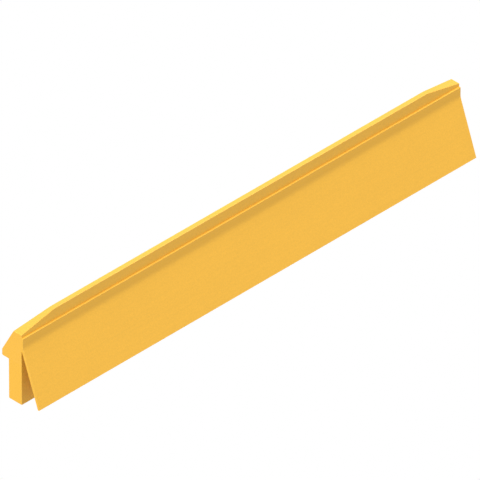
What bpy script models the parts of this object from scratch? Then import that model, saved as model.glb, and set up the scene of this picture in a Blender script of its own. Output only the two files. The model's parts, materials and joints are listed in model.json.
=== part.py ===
"""Snap-in blade cassette for a floor squeegee, about 405 mm long.

A stiff rail with a barbed head snaps up into the squeegee's frame. A thick, square-edged
rear blade is moulded round a windowed tongue under the rail. A thin front lip is bonded to
the rail's front by its flange and flares away from the rear blade, so it can flex.

The lip is one flexible strip. It is modelled as a flange and three strips, joined by
hinge lines that run along the part, so that it can bend in three places.

Frame: +X along the part, -Y towards the lip, +Z up. The origin is the middle of the
rear blade's foot. All sizes are in metres.
"""

import math

import bmesh
import bpy
from mathutils import Matrix, Vector

MM = 0.001

# Whole part
LENGTH = 405.0 * MM
FIT_GAP = 0.3 * MM               # between pieces that are bonded or hinged together

# Rear blade
BLADE_THICKNESS = 11.8 * MM
BLADE_HEIGHT = 31.3 * MM         # foot to the underside of the barb
BLADE_REBATE = 1.0 * MM          # how far its top is let up into the rail

# Rail head
BARB_OVERHANG = 6.2 * MM         # how far the barb stands out behind the rear blade
BARB_LAND = 4.8 * MM             # upright face at the barb's tip
BARB_RADIUS = 1.0 * MM
HEAD_HEIGHT = 30.7 * MM          # underside of the barb to the flat top
HEAD_TOP_WIDTH = 3.7 * MM
RAMP_LENGTH = 30.5 * MM          # lead-in ramp at each end of the top
RAMP_DROP = 6.6 * MM

# Tongue that the rear blade is moulded round
TONGUE_THICKNESS = 4.0 * MM
TONGUE_DEPTH = 20.0 * MM
TONGUE_END_COVER = 9.0 * MM      # rubber left past each end of the tongue
WINDOW_LENGTH = 12.0 * MM
WINDOW_HEIGHT = 8.0 * MM
WINDOW_PITCH = 27.0 * MM
WINDOW_EDGE = 6.0 * MM           # least plastic between a window and the tongue's end

# Lip flange
LEDGE_DROP = 9.0 * MM            # flat top down to the flange's ledge
FLANGE_HEIGHT = 7.6 * MM         # ledge down to the bend
FLANGE_PROUD = 1.3 * MM          # how far it stands out in front of the rail
FLANGE_THICKNESS = 1.8 * MM      # the rest is let into the rail
STUD_LENGTH = 6.0 * MM
STUD_HEIGHT = 2.4 * MM
STUD_DEPTH = 2.2 * MM
STUD_PITCH = 27.0 * MM
STUD_EDGE = 8.0 * MM             # least flange between a stud and the part's end

# Lip
LIP_EDGE_HEIGHT = 3.7 * MM       # foot to the front of the free edge
LIP_EDGE_THICKNESS = 1.4 * MM
LIP_FLARE = math.radians(20.0)   # away from upright
LIP_INWARD_FLEX = math.radians(9.0)
STRIP_NAMES = ("lip_root_strip", "lip_middle_strip", "lip_edge_strip")

# Colour of all three materials, linear
YELLOW = (0.77, 0.41, 0.04)

# Round stretches
ARC_STEPS = 10
CUT_MARGIN = 2.0 * MM            # how far a cutter passes through the face it opens

# Heights and depths worked out from the sizes above
FRONT_Y = -BLADE_THICKNESS / 2
BACK_Y = BLADE_THICKNESS / 2
UNDERSIDE_Z = BLADE_HEIGHT
REBATE_Z = UNDERSIDE_Z + BLADE_REBATE + FIT_GAP
TOP_Z = UNDERSIDE_Z + HEAD_HEIGHT
LEDGE_Z = TOP_Z - LEDGE_DROP
BEND_Z = LEDGE_Z - FLANGE_HEIGHT
FLANGE_FRONT_Y = FRONT_Y - FLANGE_PROUD
FLANGE_BACK_Y = FLANGE_FRONT_Y + FLANGE_THICKNESS
SEAT_Y = FLANGE_BACK_Y + FIT_GAP
LIP_LENGTH = (BEND_Z - LIP_EDGE_HEIGHT) / math.cos(LIP_FLARE)
STRIP_LENGTH = LIP_LENGTH / len(STRIP_NAMES)

# The root hinge line lies at mid thickness, square behind the bend of the front face
ROOT_HINGE = Vector((
    FLANGE_FRONT_Y + FLANGE_THICKNESS / 2 * math.cos(LIP_FLARE),
    BEND_Z - FLANGE_THICKNESS / 2 * math.sin(LIP_FLARE),
))


def clear_scene():
    """Remove whatever objects the scene starts with."""
    for old in list(bpy.data.objects):
        bpy.data.objects.remove(old, do_unlink=True)


def make_material(name, colour, roughness):
    """Return a Principled material with the given colour and roughness."""
    material = bpy.data.materials.new(name)
    material.use_nodes = True
    shader = material.node_tree.nodes["Principled BSDF"]
    shader.inputs["Base Color"].default_value = (*colour, 1.0)
    shader.inputs["Roughness"].default_value = roughness
    shader.inputs["Metallic"].default_value = 0.0
    return material


def arc(centre, radius, start, end, steps=ARC_STEPS):
    """Return points on an arc in the Y-Z plane, from angle start to angle end."""
    return [
        Vector((
            centre[0] + radius * math.cos(start + (end - start) * step / steps),
            centre[1] + radius * math.sin(start + (end - start) * step / steps),
        ))
        for step in range(steps + 1)
    ]


def rounded_corner(before, corner, after, radius, steps=ARC_STEPS):
    """Return the points that replace a convex outline corner by a tangent arc."""
    towards_before = (before - corner).normalized()
    towards_after = (after - corner).normalized()
    half_angle = towards_before.angle(towards_after) / 2
    bisector = (towards_before + towards_after).normalized()
    centre = corner + bisector * (radius / math.sin(half_angle))
    reach = radius / math.tan(half_angle)
    first = corner + towards_before * reach - centre
    last = corner + towards_after * reach - centre
    start = math.atan2(first.y, first.x)
    turn = math.atan2(first.cross(last), first.dot(last))
    return arc(centre, radius, start, start + turn, steps)


def extrude_outline(outline, length):
    """Return a bmesh of a Y-Z outline extruded along X, centred on X = 0."""
    bm = bmesh.new()
    verts = [bm.verts.new((-length / 2, point[0], point[1])) for point in outline]
    face = bm.faces.new(verts)
    grown = bmesh.ops.extrude_face_region(bm, geom=[face])["geom"]
    moved = [item for item in grown if isinstance(item, bmesh.types.BMVert)]
    bmesh.ops.translate(bm, verts=moved, vec=(length, 0.0, 0.0))
    bmesh.ops.recalc_face_normals(bm, faces=bm.faces)
    return bm


def box_row(centres, size):
    """Return a bmesh with one box of the given size at each centre."""
    bm = bmesh.new()
    for centre in centres:
        place = Matrix.Translation(centre) @ Matrix.Diagonal((*size, 1.0))
        bmesh.ops.create_cube(bm, size=1.0, matrix=place)
    return bm


def row_positions(span, item_length, pitch, edge):
    """Return evenly pitched X positions, centred on 0, that fit a row within a span."""
    room = span - item_length - 2 * edge
    count = int(room / pitch) + 1
    return [(index - (count - 1) / 2) * pitch for index in range(count)]


def add_object(name, bm, material=None):
    """Turn a bmesh into an object in the scene."""
    mesh = bpy.data.meshes.new(name)
    bm.to_mesh(mesh)
    bm.free()
    if material is not None:
        mesh.materials.append(material)
    piece = bpy.data.objects.new(name, mesh)
    bpy.context.scene.collection.objects.link(piece)
    return piece


def add_cutter(name, bm):
    """Turn a bmesh into a hidden tool object for a Boolean."""
    cutter = add_object(name, bm)
    cutter.hide_render = True
    cutter.display_type = "WIRE"
    return cutter


def combine(piece, tool, operation):
    """Add an exact Boolean to a piece."""
    modifier = piece.modifiers.new(f"{operation.lower()}_{tool.name}", "BOOLEAN")
    modifier.operation = operation
    modifier.solver = "EXACT"
    modifier.object = tool


def smooth(piece):
    """Shade the round stretches smooth and keep the corners sharp."""
    piece.data.shade_smooth()
    piece.data.set_sharp_from_angle(angle=math.radians(30.0))


def seat_foot_points():
    """Return the two points where the flange seat runs out to the rail's front face.

    The run-out stays a fit gap clear of the lip's back face when the lip is at its inward
    limit. It touches the circle of that radius round the root hinge.
    """
    slope = LIP_FLARE - LIP_INWARD_FLEX
    clear = FLANGE_THICKNESS / 2 + FIT_GAP
    touch_y = ROOT_HINGE[0] + clear * math.cos(slope)
    touch_z = ROOT_HINGE[1] - clear * math.sin(slope)
    points = []
    for y in (SEAT_Y, FRONT_Y):
        fall = (touch_y - y) / math.tan(slope)
        points.append(Vector((y, touch_z - fall)))
    return points


def head_outline():
    """Return the rail head's section: blade rebate, barb, back, top and flange seat."""
    barb_y = BACK_Y + BARB_OVERHANG
    barb_root = Vector((BACK_Y + FIT_GAP, UNDERSIDE_Z))
    barb_low = Vector((barb_y, UNDERSIDE_Z))
    barb_high = Vector((barb_y, UNDERSIDE_Z + BARB_LAND))
    top_back = Vector((FRONT_Y + HEAD_TOP_WIDTH, TOP_Z))
    outline = [
        Vector((FRONT_Y, REBATE_Z)),
        Vector((BACK_Y + FIT_GAP, REBATE_Z)),
        barb_root,
    ]
    outline += rounded_corner(barb_root, barb_low, barb_high, BARB_RADIUS)
    outline += rounded_corner(barb_low, barb_high, top_back, BARB_RADIUS)
    outline += [
        top_back,
        Vector((FRONT_Y, TOP_Z)),
        Vector((FRONT_Y, LEDGE_Z)),
        Vector((SEAT_Y, LEDGE_Z)),
    ]
    return outline + seat_foot_points()


def cut_end_ramps(bm):
    """Slice a lead-in ramp off the top of the head at both ends."""
    for side in (-1.0, 1.0):
        start = Vector((side * (LENGTH / 2 - RAMP_LENGTH), 0.0, TOP_Z))
        normal = Vector((side * RAMP_DROP, 0.0, RAMP_LENGTH)).normalized()
        sliced = bmesh.ops.bisect_plane(
            bm,
            geom=bm.verts[:] + bm.edges[:] + bm.faces[:],
            plane_co=start,
            plane_no=normal,
            clear_outer=True,
        )
        rim = [item for item in sliced["geom_cut"] if isinstance(item, bmesh.types.BMEdge)]
        bmesh.ops.edgeloop_fill(bm, edges=rim)
    bmesh.ops.recalc_face_normals(bm, faces=bm.faces)


def tongue_length():
    """Return the length of the tongue inside the rear blade."""
    return LENGTH - 2 * TONGUE_END_COVER


def tongue_box(clearance, top_z):
    """Return the tongue's box, grown by a clearance on all sides but its top."""
    low_z = UNDERSIDE_Z - TONGUE_DEPTH - clearance
    size = (
        tongue_length() + 2 * clearance,
        TONGUE_THICKNESS + 2 * clearance,
        top_z - low_z,
    )
    return box_row([Vector((0.0, 0.0, (top_z + low_z) / 2))], size)


def window_row(clearance, thickness):
    """Return boxes at the tongue's windows, shrunk by a clearance round each opening."""
    places = row_positions(tongue_length(), WINDOW_LENGTH, WINDOW_PITCH, WINDOW_EDGE)
    height = UNDERSIDE_Z - TONGUE_DEPTH / 2
    size = (WINDOW_LENGTH - 2 * clearance, thickness, WINDOW_HEIGHT - 2 * clearance)
    return box_row([Vector((x, 0.0, height)) for x in places], size)


def stud_row(clearance, front_y):
    """Return boxes at the flange's studs, grown by a clearance, starting at front_y."""
    places = row_positions(LENGTH, STUD_LENGTH, STUD_PITCH, STUD_EDGE)
    height = LEDGE_Z - FLANGE_HEIGHT / 2
    back_y = FLANGE_BACK_Y + STUD_DEPTH + clearance
    size = (STUD_LENGTH + 2 * clearance, back_y - front_y, STUD_HEIGHT + 2 * clearance)
    centre_y = (front_y + back_y) / 2
    return box_row([Vector((x, centre_y, height)) for x in places], size)


def build_snap_rail(material):
    """Build the stiff rail: barbed head, end ramps, flange seat and windowed tongue."""
    head = extrude_outline(head_outline(), LENGTH)
    cut_end_ramps(head)
    rail = add_object("snap_rail", head, material)
    smooth(rail)
    tongue = add_cutter("rail_tongue_tool", tongue_box(0.0, REBATE_Z + CUT_MARGIN))
    windows = add_cutter(
        "rail_window_tool", window_row(0.0, TONGUE_THICKNESS + 2 * CUT_MARGIN)
    )
    pockets = add_cutter("rail_pocket_tool", stud_row(FIT_GAP, SEAT_Y - CUT_MARGIN))
    combine(rail, tongue, "UNION")
    combine(rail, windows, "DIFFERENCE")
    combine(rail, pockets, "DIFFERENCE")


def build_rear_blade(material):
    """Build the thick blade, with a slot for the tongue and studs through its windows."""
    top_z = REBATE_Z - FIT_GAP
    block = box_row(
        [Vector((0.0, 0.0, top_z / 2))], (LENGTH, BLADE_THICKNESS, top_z)
    )
    blade = add_object("rear_blade", block, material)
    slot = add_cutter("blade_slot_tool", tongue_box(FIT_GAP, top_z + CUT_MARGIN))
    studs = add_cutter(
        "blade_stud_tool", window_row(FIT_GAP, TONGUE_THICKNESS + 2 * CUT_MARGIN)
    )
    combine(slot, studs, "DIFFERENCE")
    combine(blade, slot, "DIFFERENCE")


def build_lip_flange(material):
    """Build the flange that bonds the lip to the rail, hollowed for the root hinge."""
    hollow = FLANGE_THICKNESS / 2 + FIT_GAP
    front_angle = math.acos((FLANGE_FRONT_Y - ROOT_HINGE[0]) / hollow)
    back_angle = math.acos((FLANGE_BACK_Y - ROOT_HINGE[0]) / hollow)
    outline = [
        Vector((FLANGE_BACK_Y, LEDGE_Z - FIT_GAP)),
        Vector((FRONT_Y - FIT_GAP, LEDGE_Z - FIT_GAP)),
        Vector((FRONT_Y - FIT_GAP, LEDGE_Z)),
        Vector((FLANGE_FRONT_Y, LEDGE_Z)),
    ]
    outline += arc(ROOT_HINGE, hollow, front_angle, back_angle)
    flange = add_object("lip_flange", extrude_outline(outline, LENGTH), material)
    smooth(flange)
    studs = add_cutter("flange_stud_tool", stud_row(0.0, FLANGE_BACK_Y - FLANGE_THICKNESS / 2))
    combine(flange, studs, "UNION")


def lip_thickness(distance):
    """Return the lip's thickness at a distance below the root hinge."""
    taper = FLANGE_THICKNESS - LIP_EDGE_THICKNESS
    return FLANGE_THICKNESS - taper * distance / LIP_LENGTH


def strip_outline(index):
    """Return a strip's section, hanging down from its hinge line at the local origin.

    The top is a half-round nose on the hinge line. The bottom is a hollow round the next
    hinge line, or the lip's square free edge on the last strip.
    """
    top_half = lip_thickness(index * STRIP_LENGTH) / 2
    bottom_half = lip_thickness((index + 1) * STRIP_LENGTH) / 2
    outline = arc((0.0, 0.0), top_half, 0.0, math.pi)
    if index == len(STRIP_NAMES) - 1:
        outline += [
            Vector((-bottom_half, -STRIP_LENGTH)),
            Vector((bottom_half, -STRIP_LENGTH)),
        ]
        return outline
    hollow = bottom_half + FIT_GAP
    side_angle = math.acos(bottom_half / hollow)
    outline += arc((0.0, -STRIP_LENGTH), hollow, math.pi - side_angle, side_angle)
    return outline


def build_lip_strips(material):
    """Build the lip's strips as a chain, each with its origin on its own hinge line."""
    above = None
    for index, name in enumerate(STRIP_NAMES):
        strip = add_object(name, extrude_outline(strip_outline(index), LENGTH), material)
        smooth(strip)
        if above is None:
            strip.location = (0.0, ROOT_HINGE[0], ROOT_HINGE[1])
            strip.rotation_euler.x = -LIP_FLARE
        else:
            strip.parent = above
            strip.location = (0.0, 0.0, -STRIP_LENGTH)
        above = strip


def main():
    """Build the whole cassette."""
    clear_scene()
    rail_plastic = make_material("stiff_yellow_plastic", YELLOW, 0.52)
    blade_rubber = make_material("thick_yellow_rubber", YELLOW, 0.62)
    lip_rubber = make_material("thin_yellow_rubber", YELLOW, 0.60)
    build_snap_rail(rail_plastic)
    build_rear_blade(blade_rubber)
    build_lip_flange(lip_rubber)
    build_lip_strips(lip_rubber)


main()
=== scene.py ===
"""Looks of a snap-in squeegee blade cassette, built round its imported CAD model.

The cassette is one moulding in cross-section: a stiff rail with a barbed head, a thick
rear blade under it and a thin front lip that flares out and bends. Its section is drawn
once, run along the part, sloped down at both ends of its top, rounded along its corners
and then parted where the pieces meet, so that every joint line closes up flush.

Frame: +X along the part, -Y towards the lip, +Z up, in metres.
"""

import json
import logging
import math
from dataclasses import dataclass, field
from enum import Enum, IntEnum
from typing import Any, Sequence

import bmesh
import bpy
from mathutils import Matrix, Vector


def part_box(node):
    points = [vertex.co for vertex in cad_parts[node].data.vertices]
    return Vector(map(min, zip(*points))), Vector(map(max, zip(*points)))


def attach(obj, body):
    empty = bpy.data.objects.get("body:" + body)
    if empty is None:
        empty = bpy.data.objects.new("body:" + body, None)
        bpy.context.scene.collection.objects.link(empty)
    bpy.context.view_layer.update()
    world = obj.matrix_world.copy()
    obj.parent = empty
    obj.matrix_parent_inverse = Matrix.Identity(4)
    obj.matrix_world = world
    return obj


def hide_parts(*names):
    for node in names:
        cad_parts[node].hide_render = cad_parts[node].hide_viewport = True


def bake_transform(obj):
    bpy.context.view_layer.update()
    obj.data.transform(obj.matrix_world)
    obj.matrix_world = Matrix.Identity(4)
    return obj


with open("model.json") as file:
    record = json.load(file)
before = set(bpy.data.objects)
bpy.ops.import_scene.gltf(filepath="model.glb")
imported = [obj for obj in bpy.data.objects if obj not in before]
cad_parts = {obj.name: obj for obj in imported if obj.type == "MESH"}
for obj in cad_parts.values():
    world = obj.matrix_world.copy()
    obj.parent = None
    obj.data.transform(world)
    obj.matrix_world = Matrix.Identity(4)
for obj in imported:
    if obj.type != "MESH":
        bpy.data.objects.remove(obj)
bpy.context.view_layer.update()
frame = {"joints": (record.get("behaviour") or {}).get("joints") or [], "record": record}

MM = 0.001
LOG = logging.getLogger("cassette")

Outline = list[Vector]
Triple = tuple[float, float, float]
Colour = tuple[float, float, float]
Opaque = tuple[float, float, float, float]

YELLOW: Colour = (0.767, 0.412, 0.037)
# A lighter yellow for long edges and end rims: partly wear, partly a painted highlight.
WORN_AND_HIGHLIGHT_YELLOW: Colour = (0.90, 0.55, 0.10)
WHITE: Opaque = (1.0, 1.0, 1.0, 1.0)
BLACK: Opaque = (0.0, 0.0, 0.0, 1.0)

REST_PLACE = "rest_place"
NOISE_MIDDLE = 0.5


# ---------------------------------------------------------------------------------------
# Where the cassette's faces lie
# ---------------------------------------------------------------------------------------


def mount_place(name: str) -> Vector:
    """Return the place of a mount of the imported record.

    Args:
        name: The mount's name.

    Returns:
        Its point, in the part's frame.
    """
    found = [mount for mount in frame["record"]["mounts"] if mount["name"] == name]
    return Vector(found[0]["pos_m"])


def section_point(place: Sequence[float]) -> Vector:
    """Return the Y-Z part of a point as a two-dimensional vector."""
    return Vector((place[1], place[2]))


@dataclass(frozen=True)
class Layout:
    """The places that the skins have to meet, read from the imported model.

    Two-dimensional points are in the section plane: Y first, then Z.
    """

    length: float
    foot_z: float
    front_y: float
    back_y: float
    barb_y: float
    underside_z: float
    land_top_z: float
    top_z: float
    top_back_y: float
    ledge_z: float
    flange_front_y: float
    hinges: tuple[Vector, ...]
    root_half: float
    edge_half: float
    lip_length: float

    @classmethod
    def from_frame(cls) -> "Layout":
        """Read the layout from the CAD nodes' boxes, the mounts and the joints.

        Returns:
            The filled-in layout.
        """
        blade_low, blade_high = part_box("rear_blade")
        rail_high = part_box("snap_rail")[1]
        flange_low, flange_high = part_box("lip_flange")
        edge_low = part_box("lip_edge_strip")[0]
        hinges = tuple(section_point(joint["pos_m"]) for joint in frame["joints"])
        down = (hinges[1] - hinges[0]).normalized()
        flare_sin, flare_cos = -down.x, -down.y

        # The free edge's front corner is the furthest out and its back corner is the
        # lowest. Together they give the edge strip's length and half its thickness.
        drop = hinges[2].y - edge_low.z
        reach = hinges[2].x - edge_low.y
        spread = flare_cos**2 - flare_sin**2
        last_strip = (drop * flare_cos - reach * flare_sin) / spread
        edge_half = (reach * flare_cos - drop * flare_sin) / spread

        underside_z = mount_place("latch_face").z
        land_middle_z = mount_place("barb_tip").z
        top_middle_y = mount_place("head_top").y
        return cls(
            length=blade_high.x - blade_low.x,
            foot_z=blade_low.z,
            front_y=blade_low.y,
            back_y=blade_high.y,
            barb_y=rail_high.y,
            underside_z=underside_z,
            land_top_z=2 * land_middle_z - underside_z,
            top_z=rail_high.z,
            top_back_y=2 * top_middle_y - blade_low.y,
            ledge_z=flange_high.z,
            flange_front_y=flange_low.y,
            hinges=hinges,
            root_half=(hinges[0].x - flange_low.y) / flare_cos,
            edge_half=edge_half,
            lip_length=(hinges[2] - hinges[0]).length + last_strip,
        )

    @property
    def down(self) -> Vector:
        """The direction from the lip's root to its free edge."""
        return (self.hinges[1] - self.hinges[0]).normalized()

    @property
    def outward(self) -> Vector:
        """The direction square out of the lip's front face."""
        return Vector((self.down.y, -self.down.x))

    def on_lip(self, distance: float, offset: float = 0.0) -> Vector:
        """Return a point of the lip's section.

        Args:
            distance: How far below the root hinge line, along the lip.
            offset: How far out of the lip's middle plane.

        Returns:
            The point, in the section plane.
        """
        return self.hinges[0] + self.down * distance + self.outward * offset

    def below_root(self, index: int) -> float:
        """Return how far a hinge line is below the root hinge line, along the lip."""
        return (self.hinges[index] - self.hinges[0]).length

    def strip_middle(self, index: int) -> float:
        """Return how far below the root a strip between two hinge lines has its middle."""
        return (self.below_root(index) + self.below_root(index + 1)) / 2


# ---------------------------------------------------------------------------------------
# Mesh work
# ---------------------------------------------------------------------------------------


def rounded_corner(
    before: Vector, corner: Vector, after: Vector, radius: float, steps: int
) -> Outline:
    """Return the points of the tangent arc that replaces an outline's corner.

    Args:
        before: The outline point before the corner.
        corner: The corner itself.
        after: The outline point after it.
        radius: The arc's radius.
        steps: How many straight stretches make up the arc.

    Returns:
        The arc's points, from the side of before to the side of after.
    """
    to_before = (before - corner).normalized()
    to_after = (after - corner).normalized()
    half_angle = to_before.angle(to_after) / 2
    middle = (to_before + to_after).normalized()
    centre = corner + middle * (radius / math.sin(half_angle))
    reach = radius / math.tan(half_angle)
    first = corner + to_before * reach - centre
    last = corner + to_after * reach - centre
    start = math.atan2(first.y, first.x)
    turn = math.atan2(first.cross(last), first.dot(last))
    angles = [start + turn * step / steps for step in range(steps + 1)]
    return [centre + radius * Vector((math.cos(a), math.sin(a))) for a in angles]


def run_along(outline: Outline, length: float) -> bmesh.types.BMesh:
    """Return a closed solid: a section run along X, half to each side of X = 0.

    Args:
        outline: The section's corners, Y first, then Z.
        length: The solid's length.

    Returns:
        A new bmesh, with its faces pointing out.
    """
    bm = bmesh.new()
    verts = [bm.verts.new((-length / 2, point.x, point.y)) for point in outline]
    face = bm.faces.new(verts)
    grown = bmesh.ops.extrude_face_region(bm, geom=[face])["geom"]
    moved = [item for item in grown if isinstance(item, bmesh.types.BMVert)]
    bmesh.ops.translate(bm, verts=moved, vec=(length, 0.0, 0.0))
    bmesh.ops.recalc_face_normals(bm, faces=bm.faces)
    return bm


class Side(Enum):
    """Which way a cutting plane's far side lies."""

    FRONT = Vector((0.0, -1.0, 0.0))
    BACK = Vector((0.0, 1.0, 0.0))
    ABOVE = Vector((0.0, 0.0, 1.0))
    BELOW = Vector((0.0, 0.0, -1.0))


@dataclass(frozen=True)
class Plane:
    """A cutting plane. Its far side is the one that its normal points to."""

    point: Vector
    normal: Vector
    touch: float = 1e-6

    def part(self, bm: bmesh.types.BMesh) -> None:
        """Cut a solid at this plane, drop the far side and close the cut.

        Args:
            bm: The solid, which is changed.
        """
        self._cut(bm, drops_far_side=True)
        left_over = [face for face in bm.faces if self._is_left_over(face)]
        bmesh.ops.delete(bm, geom=left_over, context="FACES")
        rim = [edge for edge in bm.edges if edge.is_boundary]
        bmesh.ops.holes_fill(bm, edges=rim, sides=0)
        bmesh.ops.recalc_face_normals(bm, faces=bm.faces)

    def score(self, bm: bmesh.types.BMesh) -> None:
        """Add a loop of edges round a solid at this plane, and keep both sides."""
        self._cut(bm, drops_far_side=False)

    def _cut(self, bm: bmesh.types.BMesh, drops_far_side: bool) -> None:
        """Cut a solid's faces where this plane crosses them.

        Args:
            bm: The solid, which is changed.
            drops_far_side: Whether what lies on the far side goes, which leaves a hole.
        """
        bmesh.ops.bisect_plane(
            bm,
            geom=bm.verts[:] + bm.edges[:] + bm.faces[:],
            dist=self.touch,
            plane_co=self.point,
            plane_no=self.normal,
            clear_outer=drops_far_side,
        )

    def _is_left_over(self, face: bmesh.types.BMFace) -> bool:
        """Tell whether a face lies in the plane and belonged to the far side."""
        heights = [abs((vert.co - self.point).dot(self.normal)) for vert in face.verts]
        return max(heights) < 2 * self.touch and face.normal.dot(self.normal) < 0


@dataclass
class Moulding:
    """The whole cassette as one rounded solid, from which the pieces are parted."""

    layout: Layout
    barb_radius: float = 1.0 * MM
    bend_radius: float = 10.0 * MM
    crevice_radius: float = 0.3 * MM
    ledge_radius: float = 0.1 * MM
    edge_radius: float = 0.25 * MM
    ramp_length: float = 30.5 * MM
    ramp_drop: float = 6.6 * MM
    arc_steps: int = 10
    edge_steps: int = 3
    sharp_angle: float = math.radians(35.0)
    weld: float = 0.002 * MM

    def section(self) -> Outline:
        """Draw the section: foot, barb, sloping back, top, ledge, bend, lip and crevice.

        Returns:
            The outline's points, Y first, then Z.
        """
        at = self.layout
        foot_front = Vector((at.front_y, at.foot_z))
        foot_back = Vector((at.back_y, at.foot_z))
        armpit = Vector((at.back_y, at.underside_z))
        barb_low = Vector((at.barb_y, at.underside_z))
        barb_high = Vector((at.barb_y, at.land_top_z))
        top_back = Vector((at.top_back_y, at.top_z))
        top_front = Vector((at.front_y, at.top_z))
        ledge_inner = Vector((at.front_y, at.ledge_z))
        ledge_outer = Vector((at.flange_front_y, at.ledge_z))
        bend = at.on_lip(0.0, at.root_half)
        edge_front = at.on_lip(at.lip_length, at.edge_half)
        edge_back = at.on_lip(at.lip_length, -at.edge_half)
        root_back = at.on_lip(0.0, -at.root_half)
        share = (at.front_y - root_back.x) / (edge_back.x - root_back.x)
        apex = root_back.lerp(edge_back, share)
        steps = self.arc_steps
        outline = [foot_front, foot_back, armpit]
        outline += rounded_corner(armpit, barb_low, barb_high, self.barb_radius, steps)
        outline += rounded_corner(barb_low, barb_high, top_back, self.barb_radius, steps)
        outline += [top_back, top_front, ledge_inner]
        outline += rounded_corner(ledge_inner, ledge_outer, bend, self.ledge_radius, steps)
        outline += rounded_corner(ledge_outer, bend, edge_front, self.bend_radius, steps)
        outline += [edge_front, edge_back]
        outline += rounded_corner(edge_back, apex, foot_front, self.crevice_radius, steps)
        return outline

    def ramp_planes(self) -> list[Plane]:
        """Lay out the planes that slope the top down at both ends.

        Returns:
            One plane for each end.
        """
        planes = []
        for side in (-1.0, 1.0):
            start_x = side * (self.layout.length / 2 - self.ramp_length)
            normal = Vector((side * self.ramp_drop, 0.0, self.ramp_length)).normalized()
            planes.append(Plane(Vector((start_x, 0.0, self.layout.top_z)), normal))
        return planes

    def solid(self) -> bmesh.types.BMesh:
        """Build the whole rounded solid.

        Returns:
            A new closed bmesh.
        """
        bm = run_along(self.section(), self.layout.length)
        for plane in self.ramp_planes():
            plane.part(bm)
        corners = [
            edge
            for edge in bm.edges
            if edge.calc_face_angle_signed(0.0) > self.sharp_angle
        ]
        bmesh.ops.bevel(
            bm,
            geom=corners,
            offset=self.edge_radius,
            offset_type="OFFSET",
            affect="EDGES",
            segments=self.edge_steps,
            profile=0.5,
            material=-1,
            clamp_overlap=True,
        )
        bmesh.ops.remove_doubles(bm, verts=bm.verts, dist=self.weld)
        bmesh.ops.recalc_face_normals(bm, faces=bm.faces)
        return bm


# ---------------------------------------------------------------------------------------
# Materials
# ---------------------------------------------------------------------------------------


class Value:
    """A number that varies over a surface, with Python's operators on it."""

    def __init__(self, graph: "Graph", socket: bpy.types.NodeSocket) -> None:
        """Wrap an output socket.

        Args:
            graph: The graph that the socket belongs to.
            socket: The output socket.
        """
        self.graph = graph
        self.socket = socket

    def _with(self, operation: str, first: Any, second: Any = None) -> "Value":
        """Work out one operation in a Math node.

        Args:
            operation: The node's operation.
            first: Its first operand, a value or a number.
            second: Its second operand, where it has one.

        Returns:
            The result.
        """
        sockets = {0: first} if second is None else {0: first, 1: second}
        made = self.graph.node("ShaderNodeMath", {"operation": operation}, sockets)
        return Value(self.graph, made.outputs[0])

    def __add__(self, other: Any) -> "Value":
        """Return the sum."""
        return self._with("ADD", self, other)

    __radd__ = __add__

    def __sub__(self, other: Any) -> "Value":
        """Return the difference."""
        return self._with("SUBTRACT", self, other)

    def __rsub__(self, other: Any) -> "Value":
        """Return other minus this value."""
        return self._with("SUBTRACT", other, self)

    def __mul__(self, other: Any) -> "Value":
        """Return the product."""
        return self._with("MULTIPLY", self, other)

    __rmul__ = __mul__

    def __pow__(self, other: float) -> "Value":
        """Return this value raised to a power."""
        return self._with("POWER", self, other)

    def __abs__(self) -> "Value":
        """Return the size of this value, without its sign."""
        return self._with("ABSOLUTE", self)

    def least(self, other: Any) -> "Value":
        """Return the smaller of two values."""
        return self._with("MINIMUM", self, other)

    def most(self, other: Any) -> "Value":
        """Return the larger of two values."""
        return self._with("MAXIMUM", self, other)

    def rise(self, low: float, high: float) -> "Value":
        """Turn this value into a smooth step.

        Args:
            low: Where the step starts.
            high: Where it ends.

        Returns:
            0 below low, 1 above high and a smooth rise in between.
        """
        settings = {"interpolation_type": "SMOOTHSTEP"}
        sockets = {"Value": self, "From Min": low, "From Max": high}
        made = self.graph.node("ShaderNodeMapRange", settings, sockets)
        return Value(self.graph, made.outputs["Result"])


class MixSocket(IntEnum):
    """The numbers of the Mix node's colour sockets, whose names are not theirs alone."""

    FIRST = 6
    SECOND = 7
    RESULT = 2


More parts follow.
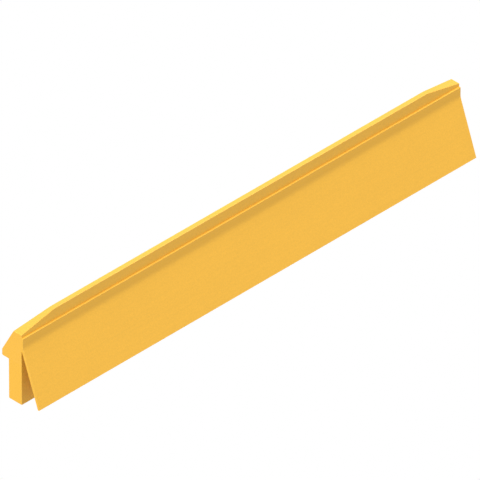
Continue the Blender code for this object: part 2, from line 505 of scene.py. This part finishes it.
class Graph:
    """The node graph of a material or of the room."""

    def __init__(self, owner: bpy.types.Material | bpy.types.World) -> None:
        """Start with an empty graph.

        Args:
            owner: The material or world that the graph belongs to.
        """
        owner.use_nodes = True
        self.tree = owner.node_tree
        self.tree.nodes.clear()

    def node(
        self,
        kind: str,
        settings: dict[str, Any] | None = None,
        sockets: dict[str | int, Any] | None = None,
    ) -> bpy.types.Node:
        """Add a node.

        Args:
            kind: The node's type.
            settings: Its settings, which are made before its sockets are filled.
            sockets: What goes into its inputs, by name or number: values or links.

        Returns:
            The new node.
        """
        made = self.tree.nodes.new(kind)
        for key, setting in (settings or {}).items():
            setattr(made, key, setting)
        for key, content in (sockets or {}).items():
            content = content.socket if isinstance(content, Value) else content
            if isinstance(content, bpy.types.NodeSocket):
                self.tree.links.new(content, made.inputs[key])
            else:
                made.inputs[key].default_value = content
        return made

    def place_at_rest(self) -> bpy.types.NodeSocket:
        """Return each surface point's place at rest, which it keeps when it bends."""
        settings = {"attribute_type": "GEOMETRY", "attribute_name": REST_PLACE}
        return self.node("ShaderNodeAttribute", settings).outputs["Vector"]

    def axis(self, vector: bpy.types.NodeSocket, name: str) -> Value:
        """Return a vector's X, Y or Z."""
        split = self.node("ShaderNodeSeparateXYZ", {}, {0: vector})
        return Value(self, split.outputs[name])

    def noise(
        self,
        place: bpy.types.NodeSocket,
        grain: float,
        stretch: Triple = (1.0, 1.0, 1.0),
        detail: float = 3.0,
    ) -> Value:
        """Return a soft random pattern.

        Args:
            place: Where each surface point is.
            grain: The size of the pattern's grains.
            stretch: How many times longer the grains are along X, Y and Z.
            detail: How many finer patterns lie over the first.

        Returns:
            The pattern, from 0 to 1 and mostly near its middle.
        """
        scale = tuple(1.0 / (grain * factor) for factor in stretch)
        mapped = self.node(
            "ShaderNodeMapping", {"vector_type": "POINT"}, {"Vector": place, "Scale": scale}
        )
        sockets = {"Vector": mapped.outputs[0], "Scale": 1.0, "Detail": detail}
        return Value(self, self.node("ShaderNodeTexNoise", {}, sockets).outputs["Fac"])

    def mix(self, first: Any, second: Any, factor: Value) -> bpy.types.NodeSocket:
        """Return a colour between two colours.

        Args:
            first: The colour at factor 0, linear.
            second: The colour at factor 1.
            factor: How much of the second colour shows.

        Returns:
            The colour's socket.
        """
        sockets = {"Factor": factor, MixSocket.FIRST: first, MixSocket.SECOND: second}
        settings = {"data_type": "RGBA", "blend_type": "MIX"}
        return self.node("ShaderNodeMix", settings, sockets).outputs[MixSocket.RESULT]


def toned(colour: Colour, factor: float = 1.0) -> Opaque:
    """Return a colour made lighter or darker, with full opacity."""
    return (colour[0] * factor, colour[1] * factor, colour[2] * factor, 1.0)


@dataclass(frozen=True)
class MouldedFinish:
    """The matte, finely grained surface of a moulded yellow plastic or rubber."""

    name: str
    roughness: float
    colour: Colour = YELLOW
    worn_and_highlight_colour: Colour = WORN_AND_HIGHLIGHT_YELLOW

    # The sizes of the patterns' grains. Streaks run along the part.
    grain: float = 0.9 * MM
    fine_grain: float = 0.22 * MM
    cloud: float = 28.0 * MM
    streak: float = 1.4 * MM
    streak_stretch: float = 60.0

    # How much lighter and darker the colour gets, what each pattern adds to that, and
    # where the sum of the patterns gives the darkest and the lightest colour.
    tone_range: float = 0.06
    tone_from_grain: float = 0.7
    tone_from_cloud: float = 0.12
    tone_from_streak: float = 0.18
    tone_low: float = 0.25
    tone_high: float = 0.75

    # How strong the lighter edge colour is, which is partly wear and partly a painted
    # highlight, and how far it reaches from a corner. Round the rims of the ends it fades
    # out as a face turns squarely towards the end.
    wear_and_highlight: float = 0.35
    wear_and_highlight_width: float = 0.7 * MM
    end_turn_low: float = 0.85
    end_turn_high: float = 0.98

    # How much the patterns and the wear change the roughness.
    rough_from_fine: float = 0.16
    rough_from_streak: float = 0.06
    rough_lost_to_wear: float = 0.2

    # The relief of the surface, and what each pattern adds to it.
    bump_height: float = 0.02 * MM
    bump_strength: float = 0.35
    bump_from_fine: float = 0.6
    bump_from_grain: float = 0.4

    def edge_distance(
        self, graph: Graph, place: bpy.types.NodeSocket, edges: Sequence[Vector]
    ) -> Value:
        """Return how far each surface point is from the nearest long edge.

        Args:
            graph: The material's graph.
            place: Where each surface point is.
            edges: The edges' points in the section plane.

        Returns:
            The distance, in metres.
        """
        across = graph.axis(place, "Y")
        height = graph.axis(place, "Z")
        nearest = None
        for edge in edges:
            distance = ((across - edge.x) ** 2.0 + (height - edge.y) ** 2.0) ** 0.5
            nearest = distance if nearest is None else nearest.least(distance)
        return nearest

    def end_mask(
        self, graph: Graph, place: bpy.types.NodeSocket, half_length: float
    ) -> Value:
        """Return a mask that is 1 round the rim of both end faces.

        Args:
            graph: The material's graph.
            place: Where each surface point is.
            half_length: Half the part's length.

        Returns:
            The mask, 0 on the end faces themselves.
        """
        facing = graph.node("ShaderNodeNewGeometry").outputs["Normal"]
        along = abs(graph.axis(place, "X"))
        endwise = abs(graph.axis(facing, "X"))
        near_end = along.rise(half_length - self.wear_and_highlight_width, half_length)
        return near_end * (1 - endwise.rise(self.end_turn_low, self.end_turn_high))

    def material(self, edges: Sequence[Vector], half_length: float) -> bpy.types.Material:
        """Make the finish as a material.

        Args:
            edges: The long edges that turn lighter, partly for wear and partly as a painted
                highlight, as points in the section plane.
            half_length: Half the part's length.

        Returns:
            The new material.
        """
        made = bpy.data.materials.new(self.name)
        graph = Graph(made)
        place = graph.place_at_rest()
        grain = graph.noise(place, self.grain)
        fine = graph.noise(place, self.fine_grain)
        cloud = graph.noise(place, self.cloud)
        streak = graph.noise(place, self.streak, (self.streak_stretch, 1.0, 1.0))

        pattern = (
            grain * self.tone_from_grain
            + cloud * self.tone_from_cloud
            + streak * self.tone_from_streak
        )
        tone = pattern.rise(self.tone_low, self.tone_high)
        low = toned(self.colour, 1 - self.tone_range)
        high = toned(self.colour, 1 + self.tone_range)
        body = graph.mix(low, high, tone)

        # Near the long edges and round the end rims the colour turns lighter: partly wear,
        # partly a painted highlight along the edges.
        close = 1 - self.edge_distance(graph, place, edges).rise(0.0, self.wear_and_highlight_width)
        rubbed_and_highlit = close.most(self.end_mask(graph, place, half_length))
        patchy_wear_and_highlight = rubbed_and_highlit * (NOISE_MIDDLE + fine) * self.wear_and_highlight
        shown = graph.mix(body, toned(self.worn_and_highlight_colour), patchy_wear_and_highlight)

        rough = (
            self.roughness
            + (fine - NOISE_MIDDLE) * self.rough_from_fine
            + (streak - NOISE_MIDDLE) * self.rough_from_streak
            - patchy_wear_and_highlight * self.rough_lost_to_wear
        )
        relief = fine * self.bump_from_fine + grain * self.bump_from_grain
        bump = graph.node(
            "ShaderNodeBump",
            {},
            {
                "Strength": self.bump_strength,
                "Distance": self.bump_height,
                "Height": relief,
            },
        )
        shader = graph.node(
            "ShaderNodeBsdfPrincipled",
            {},
            {"Base Color": shown, "Roughness": rough, "Normal": bump.outputs[0]},
        )
        graph.node("ShaderNodeOutputMaterial", {}, {"Surface": shader.outputs[0]})
        return made


class Feel(Enum):
    """The finishes of the cassette's pieces."""

    STIFF_PLASTIC = MouldedFinish("stiff_yellow_plastic", roughness=0.52)
    THICK_RUBBER = MouldedFinish("thick_yellow_rubber", roughness=0.62)
    THIN_RUBBER = MouldedFinish("thin_yellow_rubber", roughness=0.60)


# ---------------------------------------------------------------------------------------
# The cassette's pieces
# ---------------------------------------------------------------------------------------


@dataclass
class Piece:
    """One visible piece, parted from the whole moulding.

    Its cuts part it from its neighbours, its edges are the long ones that turn lighter,
    partly for wear and partly as a painted highlight, and its loops are the places where it
    can bend.
    """

    name: str
    slot: str
    finish: MouldedFinish
    stands_for: tuple[str, ...]
    cuts: list[Plane]
    edges: list[Vector]
    loops: list[Plane] = field(default_factory=list)
    shade_angle: float = math.radians(40.0)

    def build(self, moulding: bmesh.types.BMesh) -> bpy.types.Object:
        """Part this piece from a copy of the moulding.

        Args:
            moulding: The whole solid, which stays as it is.

        Returns:
            The new object, at the origin, with its place in its mesh.
        """
        bm = moulding.copy()
        for plane in self.cuts:
            plane.part(bm)
        for plane in self.loops:
            plane.score(bm)
        mesh = bpy.data.meshes.new(self.name)
        bm.to_mesh(mesh)
        bm.free()
        mesh.shade_smooth()
        mesh.set_sharp_from_angle(angle=self.shade_angle)
        places = mesh.attributes.new(REST_PLACE, "FLOAT_VECTOR", "POINT")
        for vert, place in zip(mesh.vertices, places.data):
            place.vector = vert.co
        made = bpy.data.objects.new(self.name, mesh)
        bpy.context.scene.collection.objects.link(made)
        flatten = made.modifiers.new("flat_faces_stay_flat", "WEIGHTED_NORMAL")
        flatten.keep_sharp = True
        return made

    def dress(self, made: bpy.types.Object, half_length: float) -> None:
        """Give the piece its finish and hide the CAD nodes it stands for.

        Args:
            made: The piece's object.
            half_length: Half the part's length.
        """
        made.data.materials.append(self.finish.material(self.edges, half_length))
        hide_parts(*self.stands_for)


@dataclass
class StiffHeadAndBlade:
    """The rail's head and the rear blade under it, which don't move."""

    layout: Layout
    body: str = "cassette_body"

    def pieces(self) -> list[Piece]:
        """Lay out the head and the blade, parted at the barb's underside.

        Returns:
            The two pieces.
        """
        at = self.layout
        behind_lip = Plane(Vector((0.0, at.front_y, 0.0)), Side.FRONT.value)
        joint = Vector((0.0, 0.0, at.underside_z))
        return [
            Piece(
                name="rail_head",
                slot="rail_plastic",
                finish=Feel.STIFF_PLASTIC.value,
                stands_for=("snap_rail",),
                cuts=[behind_lip, Plane(joint, Side.BELOW.value)],
                edges=[
                    Vector((at.barb_y, at.underside_z)),
                    Vector((at.barb_y, at.land_top_z)),
                    Vector((at.top_back_y, at.top_z)),
                    Vector((at.front_y, at.top_z)),
                ],
            ),
            Piece(
                name="square_blade",
                slot="blade_rubber",
                finish=Feel.THICK_RUBBER.value,
                stands_for=("rear_blade",),
                cuts=[behind_lip, Plane(joint, Side.ABOVE.value)],
                edges=[
                    Vector((at.front_y, at.foot_z)),
                    Vector((at.back_y, at.foot_z)),
                ],
            ),
        ]

    def make(self, moulding: bmesh.types.BMesh) -> list[bpy.types.Object]:
        """Build and dress both pieces.

        Args:
            moulding: The whole solid.

        Returns:
            The new objects.
        """
        made = []
        for piece in self.pieces():
            shown = piece.build(moulding)
            piece.dress(shown, self.layout.length / 2)
            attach(shown, self.body)
            made.append(shown)
        return made


@dataclass
class FlexingLip:
    """The thin front lip: one skin that bends in three places.

    It is parted in the middle of its root strip and of its middle strip, where it stays
    straight, so each of its three skins holds one hinge line and the joints stay closed.
    The skins get edge loops but are not bent here.
    """

    layout: Layout
    loop_pitch: float = 0.9 * MM
    root_blend_above: float = 1.5 * MM
    root_blend_below: float = 6.5 * MM

    @property
    def upper_joint(self) -> float:
        """How far below the root hinge line the root and middle skins meet."""
        return self.layout.strip_middle(0)

    @property
    def lower_joint(self) -> float:
        """How far below the root hinge line the middle and edge skins meet."""
        return self.layout.strip_middle(1)

    def plane_at(self, distance: float, towards_edge: bool) -> Plane:
        """Return a plane square across the lip.

        Args:
            distance: How far below the root hinge line it lies.
            towards_edge: Whether its far side is the free edge's side.

        Returns:
            The plane.
        """
        point = self.layout.on_lip(distance)
        normal = self.layout.down if towards_edge else -self.layout.down
        return Plane(Vector((0.0, point.x, point.y)), Vector((0.0, normal.x, normal.y)))

    def loops(self, start: float, end: float) -> list[Plane]:
        """Space edge loops evenly between two distances along the lip.

        Args:
            start: The upper distance below the root hinge line.
            end: The lower one.

        Returns:
            The loops' planes, with none at the two distances themselves.
        """
        count = max(1, round((end - start) / self.loop_pitch))
        pitch = (end - start) / count
        return [self.plane_at(start + pitch * step, True) for step in range(1, count)]

    def lightened_edges(self) -> list[Vector]:
        """Return the long edges that rub and turn lighter, partly for wear and partly as a
        painted highlight: both corners of the lip's free edge.
        """
        at = self.layout
        return [at.on_lip(at.lip_length, half) for half in (at.edge_half, -at.edge_half)]

    def pieces(self) -> list[Piece]:
        """Lay out the lip's three skins, from the root down.

        Returns:
            The pieces.
        """
        before_rail = Plane(Vector((0.0, self.layout.front_y, 0.0)), Side.BACK.value)
        skins = [
            ("lip_root_skin", ("lip_flange", "lip_root_strip"), None, self.upper_joint),
            ("lip_middle_skin", ("lip_middle_strip",), self.upper_joint, self.lower_joint),
            ("lip_edge_skin", ("lip_edge_strip",), self.lower_joint, None),
        ]
        made = []
        for name, nodes, start, end in skins:
            cuts = [before_rail]
            if start is not None:
                cuts.append(self.plane_at(start, False))
            if end is not None:
                cuts.append(self.plane_at(end, True))
            first = -self.root_blend_above if start is None else start
            last = self.layout.lip_length if end is None else end
            made.append(
                Piece(
                    name=name,
                    slot="lip_rubber",
                    finish=Feel.THIN_RUBBER.value,
                    stands_for=nodes,
                    cuts=cuts,
                    edges=self.lightened_edges(),
                    loops=self.loops(first, last),
                )
            )
        return made

    def bend(self, shown: bpy.types.Object, index: int, start: float, end: float) -> None:
        """Bake a skin's place into its mesh; the skin is left unbent.

        Args:
            shown: The skin.
            index: The hinge line's number, from the root; not used.
            start: Where a bend would start, below the root hinge line along the lip; the
                point made from it is not used.
            end: Where it would end; the point made from it is not used.
        """
        first = self.layout.on_lip(start)
        last = self.layout.on_lip(end)
        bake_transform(shown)

    def make(self, moulding: bmesh.types.BMesh) -> list[bpy.types.Object]:
        """Build and dress the three skins, and bake their places into their meshes.

        Args:
            moulding: The whole solid.

        Returns:
            The new objects.
        """
        edge_hinge = self.layout.below_root(2)
        spans = [
            (-self.root_blend_above, self.root_blend_below),
            (self.upper_joint, self.lower_joint),
            (self.lower_joint, 2 * edge_hinge - self.lower_joint),
        ]
        made = []
        for index, (piece, span) in enumerate(zip(self.pieces(), spans)):
            shown = piece.build(moulding)
            piece.dress(shown, self.layout.length / 2)
            self.bend(shown, index, *span)
            made.append(shown)
        return made


# ---------------------------------------------------------------------------------------
# Floor, light and camera
# ---------------------------------------------------------------------------------------


@dataclass(frozen=True)
class Studio:
    """A white floor in a plain pale room, with a soft key light and a soft side light.

    The floor only shows: it glows just enough to be white, and it neither lights the
    cassette nor shades it, so the light from below is the room's own.
    """

    foot_z: float
    room: float = 0.705
    backdrop: float = 1.0
    floor_radius: float = 14.0
    floor_sides: int = 96
    floor_gap: float = 0.05 * MM
    key_strength: float = 3.15
    key_from: Triple = (0.41, -0.07, 0.91)
    side_strength: float = 1.95
    side_from: Triple = (-0.98, -0.18, 0.0)
    spread: float = math.radians(30.0)

    def lay_floor(self) -> None:
        """Lay the white floor that the cassette stands on."""
        bm = bmesh.new()
        bmesh.ops.create_circle(
            bm, cap_ends=True, radius=self.floor_radius, segments=self.floor_sides
        )
        bmesh.ops.translate(bm, verts=bm.verts, vec=(0.0, 0.0, self.foot_z - self.floor_gap))
        mesh = bpy.data.meshes.new("white_floor")
        bm.to_mesh(mesh)
        bm.free()
        floor = bpy.data.objects.new("white_floor", mesh)
        bpy.context.scene.collection.objects.link(floor)
        for ray in ("diffuse", "glossy", "transmission", "shadow"):
            setattr(floor, f"visible_{ray}", False)
        mesh.materials.append(self.floor_white())

    def floor_white(self) -> bpy.types.Material:
        """Make the floor's material, which glows an even white.

        Returns:
            The new material.
        """
        made = bpy.data.materials.new("floor_white")
        graph = Graph(made)
        shader = graph.node(
            "ShaderNodeBsdfPrincipled",
            {},
            {
                "Base Color": BLACK,
                "Roughness": 1.0,
                "Specular IOR Level": 0.0,
                "Emission Color": WHITE,
                "Emission Strength": self.backdrop,
            },
        )
        graph.node("ShaderNodeOutputMaterial", {}, {"Surface": shader.outputs[0]})
        return made

    def light_room(self) -> None:
        """Light the scene evenly from all round, and show white beyond the floor."""
        world = bpy.data.worlds.new("pale_room")
        bpy.context.scene.world = world
        graph = Graph(world)
        seen = graph.node("ShaderNodeLightPath").outputs["Is Camera Ray"]
        room, backdrop = [
            graph.node("ShaderNodeBackground", {}, {"Color": WHITE, "Strength": strength})
            for strength in (self.room, self.backdrop)
        ]
        choose = graph.node(
            "ShaderNodeMixShader",
            {},
            {0: seen, 1: room.outputs[0], 2: backdrop.outputs[0]},
        )
        graph.node("ShaderNodeOutputWorld", {}, {"Surface": choose.outputs[0]})

    def hang_light(
        self, name: str, strength: float, direction: Triple, shines: bool
    ) -> None:
        """Hang a soft light far away.

        Args:
            name: The light's name.
            strength: How strong it is.
            direction: Where its light comes from.
            shines: Whether it also shows as a gloss.
        """
        data = bpy.data.lights.new(name, "SUN")
        data.energy = strength
        data.angle = self.spread
        light = bpy.data.objects.new(name, data)
        light.rotation_mode = "QUATERNION"
        light.rotation_quaternion = Vector(direction).to_track_quat("Z", "Y")
        light.visible_glossy = shines
        bpy.context.scene.collection.objects.link(light)

    def set_up(self) -> None:
        """Set up the floor, the room's light, both lights and the view transform."""
        self.lay_floor()
        self.light_room()
        self.hang_light("key_light", self.key_strength, self.key_from, shines=True)
        self.hang_light("side_light", self.side_strength, self.side_from, shines=False)
        bpy.context.scene.view_settings.view_transform = "Standard"


@dataclass(frozen=True)
class LongLensCamera:
    """A camera far off with a very long lens, so that parallel edges stay parallel."""

    target: Triple = (0.0, -4.02 * MM, 29.3 * MM)
    azimuth: float = math.radians(-45.0)
    elevation: float = math.atan(1 / math.sqrt(2))
    view_width: float = 314.2 * MM
    lens: float = 1700.0
    sensor: float = 36.0
    near_share: float = 0.1
    far_margin: float = 30.0

    def place(self) -> None:
        """Make the camera and look through it."""
        data = bpy.data.cameras.new("long_lens")
        data.lens = self.lens
        data.sensor_width = self.sensor
        distance = self.view_width * self.lens / self.sensor
        data.clip_start = distance * self.near_share
        data.clip_end = distance + self.far_margin
        back = Vector((
            math.sin(self.azimuth) * math.cos(self.elevation),
            -math.cos(self.azimuth) * math.cos(self.elevation),
            math.sin(self.elevation),
        ))
        camera = bpy.data.objects.new("long_lens", data)
        camera.location = Vector(self.target) + back * distance
        camera.rotation_mode = "QUATERNION"
        camera.rotation_quaternion = back.to_track_quat("Z", "Y")
        bpy.context.scene.collection.objects.link(camera)
        bpy.context.scene.camera = camera


# ---------------------------------------------------------------------------------------
# The whole scene
# ---------------------------------------------------------------------------------------


def main() -> None:
    """Build every piece of the cassette, then the studio and the camera."""
    logging.basicConfig(level=logging.INFO, format="%(name)s: %(message)s")
    layout = Layout.from_frame()
    moulding = Moulding(layout).solid()
    for group in (StiffHeadAndBlade(layout), FlexingLip(layout)):
        for shown in group.make(moulding):
            LOG.info("%s: %d faces", shown.name, len(shown.data.polygons))
    moulding.free()
    Studio(layout.foot_z).set_up()
    LongLensCamera().place()


if __name__ == "__main__":
    main()
